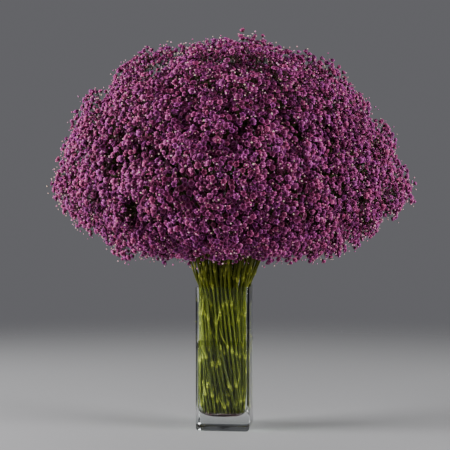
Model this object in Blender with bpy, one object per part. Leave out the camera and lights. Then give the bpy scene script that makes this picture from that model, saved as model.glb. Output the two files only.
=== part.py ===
"""A full bunch of dyed gypsophila standing in a tall square glass vase, in metres, +Z up.

The origin is the middle of the vase's resting face. The bunch is a dome of sprays that
radiate from the vase's mouth: each spray is a head covered in florets, carried by a pair
of stems that stand in the water. A florist turns the stems as the bunch is gathered, so
they lean round the vase like the strings of a drum.
"""

import math
import random

import bmesh
import bpy
import numpy as np
from mathutils import Matrix, Vector, noise
from mathutils.bvhtree import BVHTree

# Vase: pressed glass, square in plan, with a heavy base.
VASE_SIDE = 0.100
VASE_HEIGHT = 0.268
VASE_CORNER = 0.006
VASE_FOOT_ROUND = 0.003
VASE_LIP_ROUND = 0.0015
WALL = 0.0045
BASE_THICKNESS = 0.024
CAVITY_CORNER = 0.0085
CAVITY_ROUND = 0.0075
CORNER_STEPS = 4
FOOT_STEPS = 3
LIP_STEPS = 1
CUT_OVERRUN = 0.02
SAME_PLACE = 1e-5

# Water
WATER_LEVEL = 0.166
GAP = 0.0003

# Dome: half of a slightly flattened ball over a cone, cut level above the vase's mouth.
DOME_RADIUS = 0.330
DOME_RISE = 0.310
DOME_CENTRE = Vector((0.010, 0.0, 0.419))
UNDERSIDE_SLOPE = 0.741
UNDERSIDE_DEPTH = 0.241
NECK_DROP = 0.098
NECK_RADIUS = 0.106
HUB = Vector((0.004, 0.0, 0.372))
EDGE_SHARPNESS = 14
LUMP_SHARE = 0.055
LUMP_SIZE = 2.3
LUMP_PLACE = Vector((29, -32, -23))

# Sprays and florets
SPRAYS = 28
SPRAY_SCATTER = 0.10
FLORETS = 490
FLORET_SCATTER = 0.13
FLORET_DEPTH = 0.015
FLORET_HOLLOW = 0.0085
FLORET_LIFT = 0.005
FLORET_TILT = 0.45
RIM_SHARE = 0.80
SPRAY_STEP = 0.006
SPRAY_GAP = 0.0020
HEAD_INNER_SHARE = 0.89
GOLDEN_ANGLE = math.pi * (3 - math.sqrt(5))

# Stems
STEMS_PER_SPRAY = 2
STEM_RADIUS = 0.0022
STEM_TIP_RADIUS = 0.0014
STEM_SPACING = 0.0093
PUSH_ROUNDS = 200
PUSH_SHARE = 0.3
BUNCH_RADIUS = 0.0395
BUNCH_RADIUS_AT_FLOOR = 0.0375
BUNCH_TURN = math.radians(42)
BEND_HEIGHT = 0.258
STEM_FLOOR_GAP = 0.0006
WATER_HOLE = 0.0007
JOINT_HEIGHTS = (0.186, 0.236)
JOINT_RADIUS = 0.0038
JOINT_HALF_LENGTH = 0.005
FORK_SHARE = 0.3
BEND_STEPS = 4
BEND_START_REACH = 0.60
BEND_END_REACH = 0.30

SEED = 13


def clear_scene():
    """Starts from an empty scene."""
    for thing in list(bpy.data.objects):
        bpy.data.objects.remove(thing, do_unlink=True)


def collection(name):
    """A new collection in the scene."""
    made = bpy.data.collections.new(name)
    bpy.context.scene.collection.children.link(made)
    return made


def material(name, colour, roughness, transmission=0.0):
    """A Principled material, see-through where transmission is 1."""
    made = bpy.data.materials.new(name)
    made.use_nodes = True
    shader = made.node_tree.nodes["Principled BSDF"]
    shader.inputs["Base Color"].default_value = (*colour, 1.0)
    shader.inputs["Roughness"].default_value = roughness
    shader.inputs["Metallic"].default_value = 0.0
    shader.inputs["Transmission Weight"].default_value = transmission
    return made


def mesh_object(name, bm, home, finish=None):
    """An object from a bmesh, which is used up."""
    bmesh.ops.recalc_face_normals(bm, faces=bm.faces)
    mesh = bpy.data.meshes.new(name)
    bm.to_mesh(mesh)
    bm.free()
    made = bpy.data.objects.new(name, mesh)
    home.objects.link(made)
    if finish:
        mesh.materials.append(finish)
    return made


def as_cutter(thing):
    """Hides an object that only shapes another."""
    thing.hide_render = True
    thing.display_type = "WIRE"
    return thing


def add_boolean(thing, operation, operand):
    """A Boolean modifier that takes one object or a whole collection."""
    modifier = thing.modifiers.new(operation.title(), "BOOLEAN")
    modifier.operation = operation
    modifier.solver = "EXACT"
    if isinstance(operand, bpy.types.Collection):
        modifier.operand_type = "COLLECTION"
        modifier.collection = operand
    else:
        modifier.object = operand
    return modifier


def rounded_block(side, bottom, top, corner, foot_round, lip_round):
    """A square block with round upright corners and its own rounding at foot and lip."""
    bm = bmesh.new()
    height = top - bottom
    bmesh.ops.create_cube(bm, size=1.0)
    bmesh.ops.scale(bm, vec=(side, side, height), verts=bm.verts)
    bmesh.ops.translate(bm, vec=(0, 0, bottom + height / 2), verts=bm.verts)
    upright = [e for e in bm.edges if abs(e.verts[0].co.z - e.verts[1].co.z) > height / 2]
    bmesh.ops.bevel(bm, geom=upright, offset=corner, segments=CORNER_STEPS, profile=0.5, affect="EDGES")
    for level, size, steps in ((bottom, foot_round, FOOT_STEPS), (top, lip_round, LIP_STEPS)):
        if size:
            ring = [e for e in bm.edges if all(abs(v.co.z - level) < SAME_PLACE for v in e.verts)]
            bmesh.ops.bevel(bm, geom=ring, offset=size, segments=steps, profile=0.5, affect="EDGES")
    return bm


def make_vase(home, cutters):
    """The vase: a heavy block of glass, hollowed from the top."""
    glass = material("clear_glass", (0.93, 0.97, 0.95), 0.02, 1.0)
    block = rounded_block(VASE_SIDE, 0.0, VASE_HEIGHT, VASE_CORNER, VASE_FOOT_ROUND, VASE_LIP_ROUND)
    vase = mesh_object("vase", block, home, glass)
    inner_side = VASE_SIDE - 2 * WALL
    above = VASE_HEIGHT + CUT_OVERRUN
    hollow = rounded_block(inner_side, BASE_THICKNESS, above, CAVITY_CORNER, CAVITY_ROUND, 0)
    cavity = as_cutter(mesh_object("vase_cavity", hollow, cutters))
    add_boolean(vase, "DIFFERENCE", cavity)
    return vase


def envelope_radius(polar):
    """Distance from the dome's centre to its surface, at an angle from straight up.

    It is the soft minimum of a ball, a cone under it and a level plane over the vase.
    """
    ball = math.hypot(math.sin(polar) / DOME_RADIUS, math.cos(polar) / DOME_RISE)
    cone = max(0.0, (UNDERSIDE_SLOPE * math.sin(polar) - math.cos(polar)) / UNDERSIDE_DEPTH)
    plane = max(0.0, -math.cos(polar) / NECK_DROP)
    return sum(inverse**EDGE_SHARPNESS for inverse in (ball, cone, plane)) ** (-1 / EDGE_SHARPNESS)


class Meridian:
    """The dome's outline from its top to its neck, measured by the area it sweeps."""

    STEPS = 360

    def __init__(self):
        self.polar = np.linspace(0, math.pi, self.STEPS)
        length = np.array([envelope_radius(angle) for angle in self.polar])
        self.radius = length * np.sin(self.polar)
        height = length * np.cos(self.polar)
        step = np.hypot(np.diff(self.radius), np.diff(height))
        swept = math.pi * (self.radius[1:] + self.radius[:-1]) * step
        self.area = np.concatenate(([0.0], np.cumsum(swept)))
        self.share = self.area / self.area[-1]

    def polar_at(self, share):
        """Angle from straight up below which the dome has this share of its area."""
        return float(np.interp(share, self.share, self.polar))

    def covered_share(self):
        """Share of the area outside the neck, where the stems come through."""
        under = self.polar > math.pi / 2
        return float(np.interp(-NECK_RADIUS, -self.radius[under], self.share[under]))


def dome_direction(meridian, point):
    """Unit vector from the dome's centre for a point of the unit ball, areas kept in step."""
    polar = meridian.polar_at((1 - point.z) / 2)
    azimuth = math.atan2(point.y, point.x)
    ring = math.sin(polar)
    return Vector((ring * math.cos(azimuth), ring * math.sin(azimuth), math.cos(polar)))


def dome_point(meridian, point, inset=0.0):
    """Where a point of the unit ball lies on the lumpy dome, this far under its surface."""
    direction = dome_direction(meridian, point)
    polar = math.acos(max(-1.0, min(1.0, direction.z)))
    lump = 1 + LUMP_SHARE * noise.noise(direction * LUMP_SIZE + LUMP_PLACE)
    return DOME_CENTRE + direction * (envelope_radius(polar) * lump - inset)


def spiral_points(count, share, draw, scatter):
    """Evenly spread points on the unit ball, from its top down over a share of its area."""
    spacing = math.sqrt(4 * math.pi * share / count)
    points = []
    for i in range(count):
        z = 1 - 2 * share * (i + 0.5) / count
        ring = math.sqrt(1 - z * z)
        point = Vector((ring * math.cos(i * GOLDEN_ANGLE), ring * math.sin(i * GOLDEN_ANGLE), z))
        nudge = Vector((draw.gauss(0, 1), draw.gauss(0, 1), draw.gauss(0, 1)))
        points.append((point + nudge * scatter * spacing).normalized())
    return points


def floret_cells(points):
    """Corners between neighbouring florets on the unit ball, and each floret's ring of them."""
    bm = bmesh.new()
    for point in points:
        bm.verts.new(point)
    bm.verts.ensure_lookup_table()
    bmesh.ops.convex_hull(bm, input=bm.verts)
    bm.verts.index_update()
    bm.faces.index_update()
    corners = [face.calc_center_median().normalized() for face in bm.faces]
    rings = []
    for vert in bm.verts:
        across = vert.co.orthogonal().normalized()
        up = vert.co.cross(across)
        ring = sorted(
            (face.index for face in vert.link_faces),
            key=lambda i: math.atan2(corners[i].dot(up), corners[i].dot(across)),
        )
        rings.append(ring)
    bm.free()
    return corners, rings


def patch_mesh(meridian, corners, rings, members, points, lift):
    """The bare face of one spray: a cell for each floret, drawn in a little at its border."""
    bm = bmesh.new()
    made = {}
    owners = {}
    for member in members:
        for corner in rings[member]:
            if corner not in made:
                made[corner] = bm.verts.new(dome_point(meridian, corners[corner], FLORET_DEPTH - lift))
            owners.setdefault(corner, []).append(member)
        bm.faces.new([made[corner] for corner in rings[member]])
    for corner, vert in made.items():
        if vert.is_boundary:
            inner = [dome_point(meridian, points[member], FLORET_DEPTH - lift) for member in owners[corner]]
            vert.co += (sum(inner, Vector()) / len(inner) - vert.co).normalized() * SPRAY_GAP
    return bm


def close_behind(bm):
    """Closes the patch: walls that point at the dome's centre, and a back across their ends."""
    border = [edge for edge in bm.edges if edge.is_boundary]
    walls = bmesh.ops.extrude_edge_only(bm, edges=border)["geom"]
    for vert in (piece for piece in walls if isinstance(piece, bmesh.types.BMVert)):
        vert.co = DOME_CENTRE + (vert.co - DOME_CENTRE) * HEAD_INNER_SHARE
    bmesh.ops.contextual_create(bm, geom=[edge for edge in bm.edges if edge.is_boundary])


def open_floret(bm, face, draw):
    """Raises one cell into a floret: a tilted rim, drawn in, round a sunken heart.

    Each point moves along its own ray from the dome's centre, so florets never cross.
    """
    middle = face.calc_center_median()
    across = Vector((draw.gauss(0, 1), draw.gauss(0, 1), draw.gauss(0, 1))).normalized()
    height = FLORET_DEPTH + draw.uniform(-1, 1) * FLORET_LIFT
    bmesh.ops.inset_individual(bm, faces=[face], thickness=0, depth=0)
    for vert in face.verts:
        reach = (vert.co - middle) * RIM_SHARE
        rim = middle + reach
        vert.co = rim + (rim - DOME_CENTRE).normalized() * (height + reach.dot(across) * FLORET_TILT)
    poked = bmesh.ops.poke(bm, faces=[face])
    heart = poked["verts"][0]
    heart.co = middle + (middle - DOME_CENTRE).normalized() * (height - FLORET_HOLLOW)


def make_head(name, meridian, cells, members, points, draw, home, petals):
    """One spray's head, covered in florets. Returns where its stems reach it, and the way in."""
    lift = draw.uniform(-1, 1) * SPRAY_STEP
    bm = patch_mesh(meridian, *cells, members, points, lift)
    florets = list(bm.faces)
    middle = sum((vert.co for vert in bm.verts), Vector()) / len(bm.verts)
    close_behind(bm)
    for face in florets:
        open_floret(bm, face, draw)
    bmesh.ops.triangulate(bm, faces=bm.faces)
    way = (middle - HUB).normalized()
    hit, normal, _, _ = BVHTree.FromBMesh(bm).ray_cast(HUB, way)
    inward = normal if normal.dot(way) < 0 else -normal
    mesh_object(name, bm, home, petals)
    return hit + inward * (STEM_TIP_RADIUS + 2 * GAP), (way - inward).normalized()


def gather_stems(middles):
    """Where the stems cross the vase's mouth: near their own sprays, then pushed evenly apart."""
    places = []
    for rank, middle in enumerate(middles):
        reach = BUNCH_RADIUS * math.sqrt((rank + 0.5) / len(middles))
        azimuth = math.atan2(middle.y, middle.x)
        for i in range(STEMS_PER_SPRAY):
            aside = (i - (STEMS_PER_SPRAY - 1) / 2) * STEM_SPACING / max(reach, STEM_SPACING)
            places.append((reach * math.cos(azimuth + aside), reach * math.sin(azimuth + aside)))
    places = np.array(places)
    for _ in range(PUSH_ROUNDS):
        offset = places[:, None] - places[None]
        distance = np.hypot(offset[..., 0], offset[..., 1]) + np.eye(len(places))
        push = np.clip(STEM_SPACING - distance, 0, None) * (1 - np.eye(len(places)))
        places += PUSH_SHARE * (offset / distance[..., None] * push[..., None]).sum(axis=1)
        reach = np.hypot(places[:, 0], places[:, 1])
        places *= np.minimum(1, BUNCH_RADIUS / reach)[:, None]
    return places


def stem_foot(place):
    """Where a stem stands on the vase's rounded floor, for its place at the mouth."""
    shrink = BUNCH_RADIUS_AT_FLOOR / BUNCH_RADIUS
    foot = Matrix.Rotation(BUNCH_TURN, 2) @ Vector(place) * shrink
    flat = VASE_SIDE / 2 - WALL - CAVITY_ROUND
    over = max(0.0, max(abs(foot.x), abs(foot.y)) + STEM_RADIUS + WATER_HOLE - flat)
    rise = CAVITY_ROUND - math.sqrt(CAVITY_ROUND**2 - over**2)
    return Vector((foot.x, foot.y, BASE_THICKNESS + STEM_FLOOR_GAP + rise))


def bent_points(start, start_way, end, end_way, count):
    """Points along a smooth bend from one place and direction to another."""
    reach = (end - start).length
    first = start + start_way * reach * BEND_START_REACH
    second = end - end_way * reach * BEND_END_REACH
    points = []
    for i in range(1, count + 1):
        t = i / count
        s = 1 - t
        points.append(s**3 * start + 3 * s * s * t * first + 3 * s * t * t * second + t**3 * end)
    return points


def stem_route(place, end, way, joint_height):
    """A stem's points and radii, from the vase's floor up and out to its spray."""
    foot = stem_foot(place)
    mouth = Vector((place[0], place[1], BEND_HEIGHT))
    lean = (mouth - foot).normalized()
    joint = foot + lean * ((joint_height - foot.z) / lean.z)
    route = [
        (foot, STEM_RADIUS),
        (joint - lean * JOINT_HALF_LENGTH, STEM_RADIUS),
        (joint, JOINT_RADIUS),
        (joint + lean * JOINT_HALF_LENGTH, STEM_RADIUS),
        (mouth, STEM_RADIUS),
    ]
    bend = bent_points(mouth, (lean + Vector((0, 0, 1))).normalized(), end, way, BEND_STEPS)
    for i, point in enumerate(bend):
        route.append((point, STEM_RADIUS + (STEM_TIP_RADIUS - STEM_RADIUS) * (i + 1) / BEND_STEPS))
    return route


def tube(name, route, home):
    """A closed four-sided tube along a route of points and radii, as a mesh."""
    curve = bpy.data.curves.new(name, "CURVE")
    curve.dimensions = "3D"
    curve.bevel_depth = 1.0
    curve.bevel_resolution = 0
    curve.use_fill_caps = True
    spline = curve.splines.new("POLY")
    spline.points.add(len(route) - 1)
    for target, (point, radius) in zip(spline.points, route):
        target.co = (*point, 1.0)
        target.radius = radius
    bent = bpy.data.objects.new(name + "_curve", curve)
    home.objects.link(bent)
    bpy.context.view_layer.update()
    graph = bpy.context.evaluated_depsgraph_get()
    mesh = bpy.data.meshes.new_from_object(bent.evaluated_get(graph))
    made = bpy.data.objects.new(name, mesh)
    made.matrix_world = bent.matrix_world
    home.objects.link(made)
    bpy.data.objects.remove(bent)
    bm = bmesh.new()
    bm.from_mesh(mesh)
    bmesh.ops.remove_doubles(bm, verts=bm.verts, dist=SAME_PLACE)
    bmesh.ops.recalc_face_normals(bm, faces=bm.faces)
    bm.to_mesh(mesh)
    bm.free()
    return made


def join_pieces(name, pieces, home, finish):
    """One solid from pieces that run into each other, by one Boolean union."""
    first, others = pieces[0], pieces[1:]
    operand = collection(name + "_pieces")
    for piece in others:
        home.objects.unlink(piece)
        operand.objects.link(piece)
    add_boolean(first, "UNION", operand)
    bpy.context.view_layer.update()
    graph = bpy.context.evaluated_depsgraph_get()
    mesh = bpy.data.meshes.new_from_object(first.evaluated_get(graph))
    for piece in pieces:
        bpy.data.objects.remove(piece)
    bpy.data.collections.remove(operand)
    mesh.name = name
    mesh.materials.clear()
    mesh.materials.append(finish)
    made = bpy.data.objects.new(name, mesh)
    home.objects.link(made)
    return made


def make_stems(number, places, end, way, home, greens):
    """One spray's stems: the first reaches its head, and the others run into the first."""
    pieces = []
    for i, place in enumerate(places):
        joint_height = JOINT_HEIGHTS[(number + i) % len(JOINT_HEIGHTS)]
        aside = Vector((*(place - places[0]), 0.0))
        route = stem_route(place, end + aside, way, joint_height)
        if i == 0:
            fork = route[-1][0].lerp(route[-2][0], FORK_SHARE)
        else:
            route[-1] = (fork, STEM_TIP_RADIUS)
        pieces.append(tube(f"stem_{number:02d}_{i}", route, home))
    join_pieces(f"stems_{number:02d}", pieces, home, greens)


def make_water(places, home, cutters):
    """The water that fills the vase to its level, with a plain hole for each stem."""
    clear = material("water", (0.86, 0.90, 0.80), 0.0, 1.0)
    side = VASE_SIDE - 2 * (WALL + GAP)
    bottom = BASE_THICKNESS + GAP
    block = rounded_block(side, bottom, WATER_LEVEL, CAVITY_CORNER - GAP, CAVITY_ROUND, 0)
    water = mesh_object("water", block, home, clear)
    holes = collection("water_holes")
    holes.hide_render = True
    for number, place in enumerate(places):
        foot = stem_foot(place)
        lean = (Vector((place[0], place[1], BEND_HEIGHT)) - foot).normalized()
        low = foot - lean * CUT_OVERRUN
        high = foot + lean * (WATER_LEVEL + CUT_OVERRUN - foot.z) / lean.z
        route = [(low, STEM_RADIUS + WATER_HOLE), (high, STEM_RADIUS + WATER_HOLE)]
        as_cutter(tube(f"water_hole_{number:02d}", route, holes))
    add_boolean(water, "DIFFERENCE", holes)
    return water


def make_gypsophila():
    """The whole arrangement."""
    clear_scene()
    home = collection("gypsophila_in_vase")
    cutters = collection("cutters")
    cutters.hide_render = True
    petals = material("dyed_petals", (0.42, 0.085, 0.27), 0.6)
    greens = material("green_stem", (0.20, 0.27, 0.03), 0.5)

    draw = random.Random(SEED)
    meridian = Meridian()
    covered = meridian.covered_share()
    middles = spiral_points(SPRAYS, covered, draw, SPRAY_SCATTER)
    florets = spiral_points(FLORETS, 1.0, draw, FLORET_SCATTER)
    cells = floret_cells(florets)
    members = {i: [] for i in range(SPRAYS)}
    for i, floret in enumerate(florets):
        if (1 - floret.z) / 2 < covered:
            nearest = max(range(SPRAYS), key=lambda n: middles[n].dot(floret))
            members[nearest].append(i)

    places = gather_stems(middles)
    for i in range(SPRAYS):
        number = i + 1
        name = f"florets_{number:02d}"
        end, way = make_head(name, meridian, cells, members[i], florets, draw, home, petals)
        own = places[i * STEMS_PER_SPRAY : (i + 1) * STEMS_PER_SPRAY]
        make_stems(number, own, end, way, home, greens)
    make_vase(home, cutters)
    make_water(places, home, cutters)


make_gypsophila()
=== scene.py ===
"""Looks of a florist's bunch of dyed gypsophila in its square glass vase.

It is put together as the real one is: the vase, its water, the stems that stand in it,
the side branches that fork out of them, and the florets and buds that cover the head.
"""

import math

import bpy
import numpy as np
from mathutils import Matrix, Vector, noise
from mathutils.kdtree import KDTree


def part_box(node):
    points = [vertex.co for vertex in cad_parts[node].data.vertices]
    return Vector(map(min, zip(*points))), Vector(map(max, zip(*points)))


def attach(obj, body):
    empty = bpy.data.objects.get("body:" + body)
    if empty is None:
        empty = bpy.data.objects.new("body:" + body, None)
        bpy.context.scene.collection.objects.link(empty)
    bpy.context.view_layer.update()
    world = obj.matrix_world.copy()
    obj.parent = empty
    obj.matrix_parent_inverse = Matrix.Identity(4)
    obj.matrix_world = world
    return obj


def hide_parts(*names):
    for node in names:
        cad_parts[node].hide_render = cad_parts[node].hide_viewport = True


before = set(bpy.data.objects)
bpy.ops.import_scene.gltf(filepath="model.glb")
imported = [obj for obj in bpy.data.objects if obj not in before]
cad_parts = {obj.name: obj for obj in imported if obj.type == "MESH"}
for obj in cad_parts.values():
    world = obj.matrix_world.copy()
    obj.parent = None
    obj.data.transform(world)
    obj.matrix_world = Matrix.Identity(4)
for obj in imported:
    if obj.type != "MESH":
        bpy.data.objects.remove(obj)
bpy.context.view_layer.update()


# The vase is one piece of clear pressed glass, square in plan with rounded corners. The mould
# gives it a heavy base with a shallow hollow under it, a rounded foot and lip, and a soft dish
# where the inner floor meets the walls, which thicken a little on their way down.
rim_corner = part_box("vase")[1]
VASE_HALF = rim_corner.x
VASE_TOP = rim_corner.z
VASE_CORNER = 0.0068
SHARPEST_CORNER = 0.0003
FOOT_ROUND = 0.0065
FOOT_RINGS = 7
PUNT_DEPTH = 0.0035
PUNT_POWER = 3
PUNT_CORNER = 0.02
PUNT_SHARES = np.linspace(0.15, 1, 7)[:-1]
LIP_ROUND = 0.0016
LIP_RINGS = 5
OUTER_RINGS = 9
INNER_RINGS = 8
WALL = 0.0045
WALL_GROWTH = 0.0006
FLOOR = 0.024
FLOOR_SHARES = (0.3, 0.7)
CAVITY_CORNER = 0.0022
DISH_DEPTH = 0.020
DISH_REACH = 0.036
DISH_CORNER = 0.011
DISH_RINGS = 13
GLASS = (0.955, 0.985, 0.970, 1.0)
THICK_GLASS = (0.53, 0.56, 0.55, 1.0)
THICK_GLASS_BLEND = 0.006
GLASS_SHADOW = (0.80, 0.84, 0.81, 1.0)
FAINT_MIRROR = (0.30, 0.30, 0.30, 1.0)
SMEAR_SCALE = 22.0
SMEAR_ROUGHNESS = 0.02
WAVE_SCALE = 14.0


class Socket:
    """An output socket of a finish. Arithmetic on it adds the Math node that does it."""

    def __init__(self, finish, output):
        self.finish = finish
        self.output = output

    def __mul__(self, other):
        return self.finish.node("ShaderNodeMath", {"operation": "MULTIPLY"}, self, other)

    def __rsub__(self, other):
        return self.finish.node("ShaderNodeMath", {"operation": "SUBTRACT"}, other, self)


class Finish:
    """A material on the Principled shader, and the one way to add any other node to it."""

    def __init__(self, name, **constants):
        self.material = bpy.data.materials.new(name)
        self.material.use_nodes = True
        self.tree = self.material.node_tree
        self.shader = self.tree.nodes["Principled BSDF"]
        self.feed({key.replace("_", " "): value for key, value in constants.items()})

    def wire(self, sockets, values):
        for key, value in values.items():
            if isinstance(value, Socket):
                self.tree.links.new(value.output, sockets[key])
            else:
                sockets[key].default_value = value

    def feed(self, values):
        self.wire({socket.name: socket for socket in self.shader.inputs}, values)

    def node(self, kind, settings, *values, output=0, **named):
        """Adds a node: its settings first, then its sockets, by place or by name."""
        made = self.tree.nodes.new(kind)
        for key, value in settings.items():
            setattr(made, key, value)
        live = [socket for socket in made.inputs if socket.enabled]
        self.wire(live, dict(enumerate(values)))
        self.wire({socket.name: socket for socket in live}, named)
        return Socket(self, [socket for socket in made.outputs if socket.enabled][output])

    def blend(self, share, first, second):
        return self.node("ShaderNodeMix", {"data_type": "RGBA"}, share, first, second)

    def mark(self, name):
        return self.node("ShaderNodeAttribute", {"attribute_name": name}, output=2)

    def place(self):
        return self.node("ShaderNodeTexCoord", {}, output=3)

    def height(self):
        return self.node("ShaderNodeSeparateXYZ", {}, self.place(), output=2)

    def speckle(self, scale, detail=2.0):
        return self.node("ShaderNodeTexNoise", {}, self.place(), Scale=scale, Detail=detail)

    def slope(self, value, low, high, at_low, at_high, kind="LINEAR"):
        """A value between low and high, mapped to one between at_low and at_high."""
        settings = {"interpolation_type": kind}
        return self.node("ShaderNodeMapRange", settings, value, low, high, at_low, at_high)

    def bump(self, height, strength, distance):
        raised = self.node("ShaderNodeBump", {}, Height=height, Strength=strength, Distance=distance)
        self.feed({"Normal": raised})

    def let_light_through(self, tint):
        """Shadow rays pass straight through, so that what is inside stays lit."""
        shadow = self.node("ShaderNodeLightPath", {}, output=1)
        open_air = self.node("ShaderNodeBsdfTransparent", {}, tint)
        surface = Socket(self, self.shader.outputs[0])
        mixed = self.node("ShaderNodeMixShader", {}, shadow, surface, open_air)
        self.tree.links.new(mixed.output, self.tree.nodes["Material Output"].inputs[0])


class Pile:
    """Shapes heaped into one mesh: points, faces and a few numbers marked on each point."""

    def __init__(self, *marks):
        self.points = []
        self.faces = {}
        self.marks = {mark: [] for mark in marks}
        self.count = 0

    def add(self, points, faces, **marks):
        points = points.reshape(-1, 3)
        for group in faces:
            corners = group.shape[-1]
            self.faces.setdefault(corners, []).append(group.reshape(-1, corners) + self.count)
        for name, heap in self.marks.items():
            heap.append(np.broadcast_to(marks.get(name, 0.0), len(points)).astype(np.float32))
        self.points.append(points)
        self.count += len(points)

    def piece(self, name, finish, replaced):
        """Makes the mesh an object that rides on the vase's body and stands for a solid."""
        points = np.concatenate(self.points).astype(np.float32)
        groups = [np.concatenate(group) for group in self.faces.values()]
        sizes = np.concatenate([np.full(len(group), group.shape[1]) for group in groups])
        corners = np.concatenate([group.ravel() for group in groups])
        mesh = bpy.data.meshes.new(name)
        mesh.vertices.add(len(points))
        mesh.vertices.foreach_set("co", points.ravel())
        mesh.loops.add(len(corners))
        mesh.loops.foreach_set("vertex_index", corners.astype(np.int32))
        mesh.polygons.add(len(sizes))
        mesh.polygons.foreach_set("loop_start", (np.cumsum(sizes) - sizes).astype(np.int32))
        for mark, heap in self.marks.items():
            mesh.attributes.new(mark, "FLOAT", "POINT").data.foreach_set("value", np.concatenate(heap))
        mesh.update(calc_edges=True)
        mesh.shade_smooth()
        mesh.materials.append(finish.material)
        made = bpy.data.objects.new(name, mesh)
        bpy.context.scene.collection.objects.link(made)
        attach(made, "root")
        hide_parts(replaced)


def square_rings(profile, arc_steps=10, side_steps=8):
    """Rings round rounded squares, one for each (half side, corner radius, height).

    A ring is a straight side, then a quarter circle, turned to the four sides.
    """
    half, corner, height = (np.array(column)[:, None] for column in zip(*profile))
    along = np.linspace(-1, 1, side_steps + 1)[:-1]
    turn = np.linspace(0, np.pi / 2, arc_steps + 1)[:-1]
    x = np.concatenate([half + 0 * along, half - corner + corner * np.cos(turn)], axis=1)
    y = np.concatenate([(half - corner) * along, half - corner + corner * np.sin(turn)], axis=1)
    plan = [(x, y), (-y, x), (-x, -y), (y, -x)]
    x = np.concatenate([side[0] for side in plan], axis=1)
    y = np.concatenate([side[1] for side in plan], axis=1)
    return np.stack([x, y, height + 0 * x], axis=-1)


def closed_rings(rings):
    """Points and faces of a surface through rings, closed at both ends by a fan to its middle."""
    count, sides, _ = rings.shape
    points = np.concatenate([rings.reshape(-1, 3), rings[[0, -1]].mean(axis=1)])
    index = np.arange(count * sides).reshape(count, sides)
    after = np.roll(index, -1, axis=1)
    walls = np.stack([index[:-1], after[:-1], after[1:], index[1:]], axis=-1)
    start = np.stack([after[0], index[0], np.full(sides, count * sides)], axis=-1)
    end = np.stack([index[-1], after[-1], np.full(sides, count * sides + 1)], axis=-1)
    return points, [walls, np.stack([start, end])]


def quarter(steps):
    """Sine and cosine along a quarter turn."""
    turn = np.linspace(0, np.pi / 2, steps)
    return zip(np.sin(turn), np.cos(turn))


def inner_half(height):
    """Half the width of the hollow, which narrows a little towards the floor."""
    return VASE_HALF - WALL - WALL_GROWTH * (1 - height / VASE_TOP)


def hollow_profile(top, swell):
    """The hollow from its floor up to a height: dish, then walls, all moved out by swell."""
    side = inner_half(FLOOR)
    flat = side - DISH_REACH
    profile = [(share * flat, share * DISH_CORNER, FLOOR - swell) for share in FLOOR_SHARES]
    for sine, cosine in quarter(DISH_RINGS):
        corner = DISH_CORNER + (CAVITY_CORNER - DISH_CORNER) * sine
        height = FLOOR - swell + DISH_DEPTH * (1 - cosine)
        profile.append((side + swell - DISH_REACH * (1 - sine), corner, height))
    for height in np.linspace(FLOOR + DISH_DEPTH, top, INNER_RINGS)[1:]:
        profile.append((inner_half(height) + swell, CAVITY_CORNER, height))
    return profile


def vase_profile():
    """The glass from under its base, up outside, over the lip and down inside to its floor."""
    foot = VASE_HALF - FOOT_ROUND
    profile = []
    for share in PUNT_SHARES:
        height = PUNT_DEPTH * (1 - share**PUNT_POWER)
        profile.append((share * foot, (1 - share) * PUNT_CORNER, height))
    for sine, cosine in quarter(FOOT_RINGS):
        back = FOOT_ROUND * (1 - sine)
        corner = max(VASE_CORNER - back, SHARPEST_CORNER)
        profile.append((VASE_HALF - back, corner, FOOT_ROUND * (1 - cosine)))
    for height in np.linspace(FOOT_ROUND, VASE_TOP - LIP_ROUND, OUTER_RINGS)[1:-1]:
        profile.append((VASE_HALF, VASE_CORNER, height))
    for sine, cosine in quarter(LIP_RINGS):
        back = LIP_ROUND * (1 - cosine)
        profile.append((VASE_HALF - back, VASE_CORNER - back, VASE_TOP - LIP_ROUND * (1 - sine)))
    inside = inner_half(VASE_TOP)
    for sine, cosine in quarter(LIP_RINGS):
        back = LIP_ROUND * (1 - sine)
        profile.append((inside + back, CAVITY_CORNER + back, VASE_TOP - LIP_ROUND * (1 - cosine)))
    return profile + hollow_profile(VASE_TOP - LIP_ROUND, 0.0)[::-1][1:]


glass = Finish("clear_glass", Transmission_Weight=1.0, IOR=1.5, Specular_Tint=FAINT_MIRROR)
blend_low, blend_high = FLOOR - THICK_GLASS_BLEND, FLOOR + THICK_GLASS_BLEND
thick = glass.slope(glass.height(), blend_low, blend_high, 1.0, 0.0)
glass.feed({"Base Color": glass.blend(thick, GLASS, THICK_GLASS)})
glass.feed({"Roughness": glass.speckle(SMEAR_SCALE) * SMEAR_ROUGHNESS})
glass.bump(glass.speckle(WAVE_SCALE, 1.0), strength=0.06, distance=0.0006)
glass.let_light_through(GLASS_SHADOW)

vase = Pile()
vase.add(*closed_rings(square_rings(vase_profile())))
vase.piece("vase_glass", glass, "vase")


# The water fills the vase to a little over its middle. It wets the glass, so its edge climbs
# the wall, and a thin purple veil on its floor is a painted reflection of the purple head.
WATER_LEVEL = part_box("water")[1].z
WETTING = 0.0002
MENISCUS = 0.0016
MENISCUS_CURVE = ((0.0012, 0.45), (0.003, 0.12), (0.007, 0.0), (0.025, 0.0))
SURFACE_CORNER = 0.004
CLEAR_WATER = (0.95, 0.97, 0.90, 1.0)
WATER_SHADOW = (0.90, 0.93, 0.88, 1.0)
# Painted reflection of the purple head, laid on the water's floor.
PAINTED_HEAD_REFLECTION = (0.22, 0.05, 0.10, 1.0)
VEIL_DEPTH = 0.016
VEIL_SCALE = 60.0
VEIL_DENSITY = 2.6

water_profile = hollow_profile(WATER_LEVEL + MENISCUS, WETTING)
wet_half = inner_half(WATER_LEVEL)
for inset, rise in MENISCUS_CURVE:
    water_profile.append((wet_half - inset, SURFACE_CORNER, WATER_LEVEL + MENISCUS * rise))

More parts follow.
